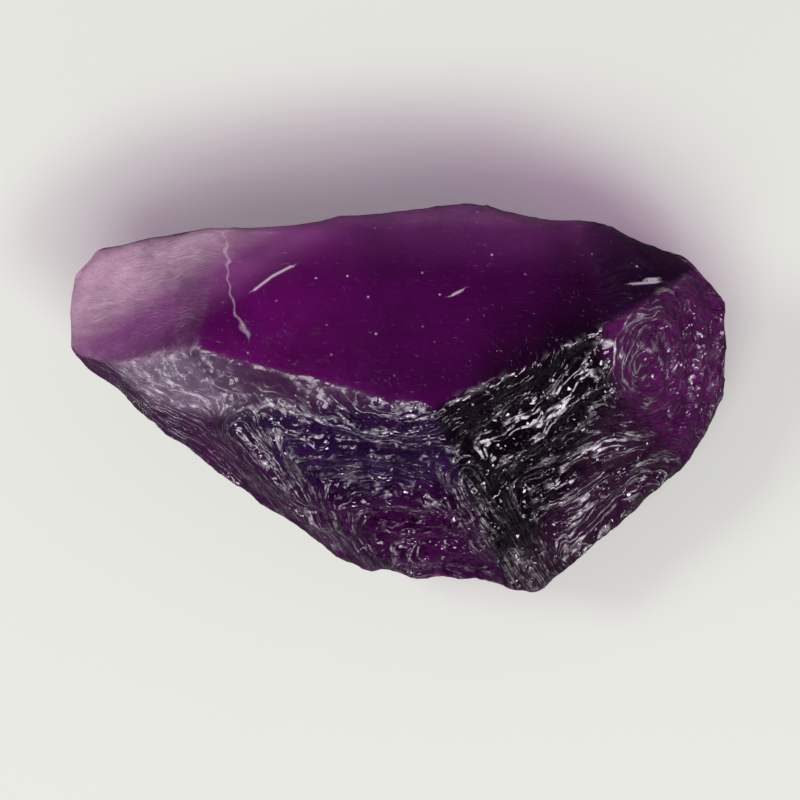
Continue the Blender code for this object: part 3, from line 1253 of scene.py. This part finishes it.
@dataclass(frozen=True)
class Floor:
    """A plain pale floor that reaches past every view, and that the stone mirrors only dimly.

    Attributes:
        side: The length of its sides, in metres.
        colour: Its colour.
        reflected: Its colour where the stone mirrors it.
        roughness: Its shader roughness.
        sheen: Its shader specular level.
    """

    side: float = 3.0
    colour: Colour = (0.305, 0.305, 0.29)
    reflected: Colour = (0.03, 0.03, 0.03)
    roughness: float = 0.6
    sheen: float = 0.2

    def build(self) -> bpy.types.Object:
        """Makes the floor.

        Returns:
            The floor, which isn't part of the stone.
        """
        deselect_all()
        bpy.ops.mesh.primitive_plane_add(size=self.side, location=(0.0, 0.0, 0.0))
        floor = bpy.context.object
        floor.name = "floor"
        material = bpy.data.materials.new("pale floor")
        material.use_nodes = True
        wiring = Wiring(material.node_tree)
        shader = material.node_tree.nodes["Principled BSDF"]
        shader.inputs["Roughness"].default_value = self.roughness
        shader.inputs["Specular IOR Level"].default_value = self.sheen
        mirrored = wiring.add("LightPath", {}, "Is Glossy Ray")
        wiring.feed(shader.inputs["Base Color"], wiring.mix(mirrored, self.colour, self.reflected))
        floor.data.materials.append(material)
        return floor


@dataclass(frozen=True)
class SoftBox:
    """A studio lamp behind a white cloth.

    Attributes:
        name: What the lamp is called.
        azimuth: Where it stands seen from above, in degrees from +X.
        elevation: How high it stands over the floor, in degrees.
        distance: From the stone, in metres.
        size: The cloth's width and height, in metres.
        power: In watts.
    """

    name: str
    azimuth: float
    elevation: float
    distance: float
    size: tuple[float, float]
    power: float

    def build(self) -> bpy.types.Object:
        """Hangs the lamp and turns it towards the stone.

        Returns:
            The lamp.
        """
        azimuth, elevation = math.radians(self.azimuth), math.radians(self.elevation)
        level = math.cos(elevation)
        direction = (level * math.cos(azimuth), level * math.sin(azimuth), math.sin(elevation))
        place = self.distance * Vector(direction)
        deselect_all()
        bpy.ops.object.light_add(type="AREA", location=place)
        lamp = bpy.context.object
        lamp.name = self.name
        lamp.rotation_euler = (-place).to_track_quat("-Z", "Y").to_euler()
        lamp.data.shape = "RECTANGLE"
        lamp.data.size, lamp.data.size_y = self.size
        lamp.data.energy = self.power
        return lamp


@dataclass(frozen=True)
class Studio:
    """The lamps, the surroundings and the way the picture is developed.

    Attributes:
        surroundings: The colour all round.
        seen: Its brightness where the camera sees it.
        fill: Its brightness where it lights the stone.
        reflected: Its brightness where the stone mirrors it.
        lamps: The lamps.
    """

    surroundings: Colour = (0.86, 0.86, 0.84)
    seen: float = 0.95
    fill: float = 0.54
    reflected: float = 0.02
    lamps: tuple[SoftBox, ...] = (
        SoftBox("front lamp", -104.0, 64.0, 1.0, (0.62, 0.54), 12.5),
        SoftBox("right front lamp", -54.0, 54.0, 1.0, (0.32, 0.26), 8.0),
        SoftBox("left lamp", 165.0, 45.0, 1.1, (0.30, 0.24), 7.5),
    )

    def build(self) -> None:
        """Lights the scene. The surroundings fill the shadows but are dim where the stone mirrors them."""
        for lamp in self.lamps:
            lamp.build()
        world = bpy.data.worlds.new("studio")
        bpy.context.scene.world = world
        world.use_nodes = True
        wiring = Wiring(world.node_tree)
        background = world.node_tree.nodes["Background"]
        background.inputs["Color"].default_value = (*self.surroundings, 1.0)
        mirrored = wiring.add("LightPath", {}, "Is Glossy Ray")
        seen = mirrored.node.outputs["Is Camera Ray"]
        unseen = {"Factor_Float": mirrored, "A_Float": self.fill, "B_Float": self.reflected}
        whole = {"Factor_Float": seen, "A_Float": wiring.add("Mix", unseen, "Result"), "B_Float": self.seen}
        wiring.feed(background.inputs["Strength"], wiring.add("Mix", whole, "Result"))
        bpy.context.scene.view_settings.view_transform = "Standard"


@dataclass(frozen=True)
class Viewpoint:
    """The camera, straight above the stone as in the photograph.

    Attributes:
        framed: The width that the picture shows at the height of the stone's ridge, in metres.
        ridge: That height, in metres.
        lens: In millimetres.
        sensor: In millimetres.
        nearest: Where its sight starts, in metres.
    """

    framed: float = 0.0624
    ridge: float = 0.013
    lens: float = 200.0
    sensor: float = 36.0
    nearest: float = 0.01

    def build(self) -> bpy.types.Object:
        """Sets the camera up.

        Returns:
            The camera.
        """
        height = self.ridge + self.framed * self.lens / self.sensor
        deselect_all()
        bpy.ops.object.camera_add(location=(0.0, 0.0, height), rotation=(0.0, 0.0, 0.0))
        camera = bpy.context.object
        camera.name = "camera"
        camera.data.lens = self.lens
        camera.data.sensor_width = self.sensor
        camera.data.sensor_fit = "HORIZONTAL"
        camera.data.clip_start = self.nearest
        bpy.context.scene.camera = camera
        return camera


def main() -> None:
    """Builds the stone, the floor, the lamps and the camera in order."""
    logging.basicConfig(level=logging.INFO, format="%(name)s: %(message)s")
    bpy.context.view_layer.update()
    LOG.info("built %s", Stone().build().name)
    LOG.info("built %s", Floor().build().name)
    Studio().build()
    LOG.info("lit by %d lamps", len(Studio().lamps))
    LOG.info("built %s", Viewpoint().build().name)


if __name__ == "__main__":
    main()
